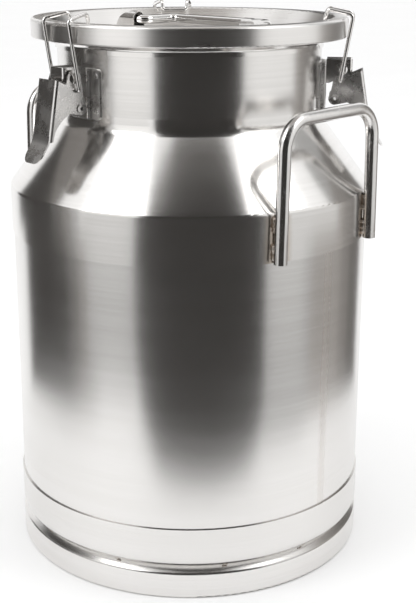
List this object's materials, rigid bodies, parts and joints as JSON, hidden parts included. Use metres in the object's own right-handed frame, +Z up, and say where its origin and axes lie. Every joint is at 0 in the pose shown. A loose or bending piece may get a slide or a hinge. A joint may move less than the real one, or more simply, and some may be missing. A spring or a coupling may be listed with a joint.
{
  "type": "milk can",
  "caption": "Stainless steel milk can with a coned shoulder, welded carry handles, and a dished lid held by over-centre wire latches.",
  "frame": {"origin": "centre of the circle that the foot ring stands on", "axes": "+Z up along the can, -Y towards the front, +X to the right seen from the front"},
  "size_m": [0.3634, 0.3637, 0.5356],
  "materials": {
    "body_sheet": "satin, brushed around the body",
    "pan_sheet": "satin, brushed around",
    "foot_sheet": "satin, brushed around",
    "shoulder_sheet": "spun, glossy",
    "neck_sheet": "fine satin",
    "mouth_sheet": "spun, glossy",
    "handle_rod": "bright drawn rod",
    "weld_metal": "raw weld",
    "latch_sheet": "bright rolled sheet",
    "strap_sheet": "bright rolled sheet",
    "rivet_metal": "bright",
    "lever_sheet": "bright rolled sheet",
    "latch_wire": "bright drawn wire",
    "lid_sheet": "satin, brushed around",
    "seal_rubber": "soft matt",
    "ear_sheet": "bright stamped sheet",
    "lid_rod": "bright drawn rod"
  },
  "bodies": {
    "can": {"body_shell": "body_sheet", "bottom_pan": "pan_sheet", "foot_ring": "foot_sheet", "shoulder": "shoulder_sheet", "neck": "neck_sheet", "mouth_ring": "mouth_sheet", "carry_handle_left": "handle_rod", "carry_handle_right": "handle_rod", "handle_welds": "weld_metal", "latch_base_1": "latch_sheet", "latch_strap_1": "strap_sheet", "latch_pivot_1": "rivet_metal", "latch_base_2": "latch_sheet", "latch_strap_2": "strap_sheet", "latch_pivot_2": "rivet_metal", "latch_base_3": "latch_sheet", "latch_strap_3": "strap_sheet", "latch_pivot_3": "rivet_metal"},
    "lid": {"lid_shell": "lid_sheet", "lid_seal": "seal_rubber", "lid_ear_left": "ear_sheet", "lid_ear_right": "ear_sheet"},
    "lid_handle": {"lid_handle": "lid_rod"},
    "lever_1": {"latch_lever_1": "lever_sheet", "latch_tie_rivet_1": "rivet_metal"},
    "bail_1": {"latch_bail_1": "latch_wire"},
    "lever_2": {"latch_lever_2": "lever_sheet", "latch_tie_rivet_2": "rivet_metal"},
    "bail_2": {"latch_bail_2": "latch_wire"},
    "lever_3": {"latch_lever_3": "lever_sheet", "latch_tie_rivet_3": "rivet_metal"},
    "bail_3": {"latch_bail_3": "latch_wire"}
  },
  "joints": [
    {"name": "lid_lift", "type": "slide", "parent": "can", "child": "lid", "axis": [0, 0, 1], "range_m": [0, 0.25]},
    {"name": "lid_handle_fold", "type": "hinge", "parent": "lid", "child": "lid_handle", "pos_m": [0, 0, 0.5195], "axis": [0.6947, -0.7193, 0], "range_deg": [0, 180]},
    {"name": "latch_lever_1_open", "type": "hinge", "parent": "can", "child": "lever_1", "pos_m": [-0.11132, -0.09677, 0.479], "axis": [-0.6561, 0.7547, 0], "range_deg": [0, 105]},
    {"name": "latch_bail_1_swing", "type": "hinge", "parent": "lever_1", "child": "bail_1", "pos_m": [-0.10981, -0.09546, 0.468], "axis": [-0.6561, 0.7547, 0], "range_deg": [-88.5, 0]},
    {"name": "latch_lever_2_open", "type": "hinge", "parent": "can", "child": "lever_2", "pos_m": [0.14607, -0.02053, 0.479], "axis": [-0.1392, -0.9903, 0], "range_deg": [0, 105]},
    {"name": "latch_bail_2_swing", "type": "hinge", "parent": "lever_2", "child": "bail_2", "pos_m": [0.14408, -0.02025, 0.468], "axis": [-0.1392, -0.9903, 0], "range_deg": [-88.5, 0]},
    {"name": "latch_lever_3_open", "type": "hinge", "parent": "can", "child": "lever_3", "pos_m": [-0.01798, 0.1464, 0.479], "axis": [0.9925, 0.1219, 0], "range_deg": [0, 105]},
    {"name": "latch_bail_3_swing", "type": "hinge", "parent": "lever_3", "child": "bail_3", "pos_m": [-0.01773, 0.14441, 0.468], "axis": [0.9925, 0.1219, 0], "range_deg": [-88.5, 0]}
  ],
  "couplings": [
    {"joint": "latch_bail_1_swing", "follows": "latch_lever_1_open", "ratio": -0.84},
    {"joint": "latch_bail_2_swing", "follows": "latch_lever_2_open", "ratio": -0.84},
    {"joint": "latch_bail_3_swing", "follows": "latch_lever_3_open", "ratio": -0.84}
  ]
}
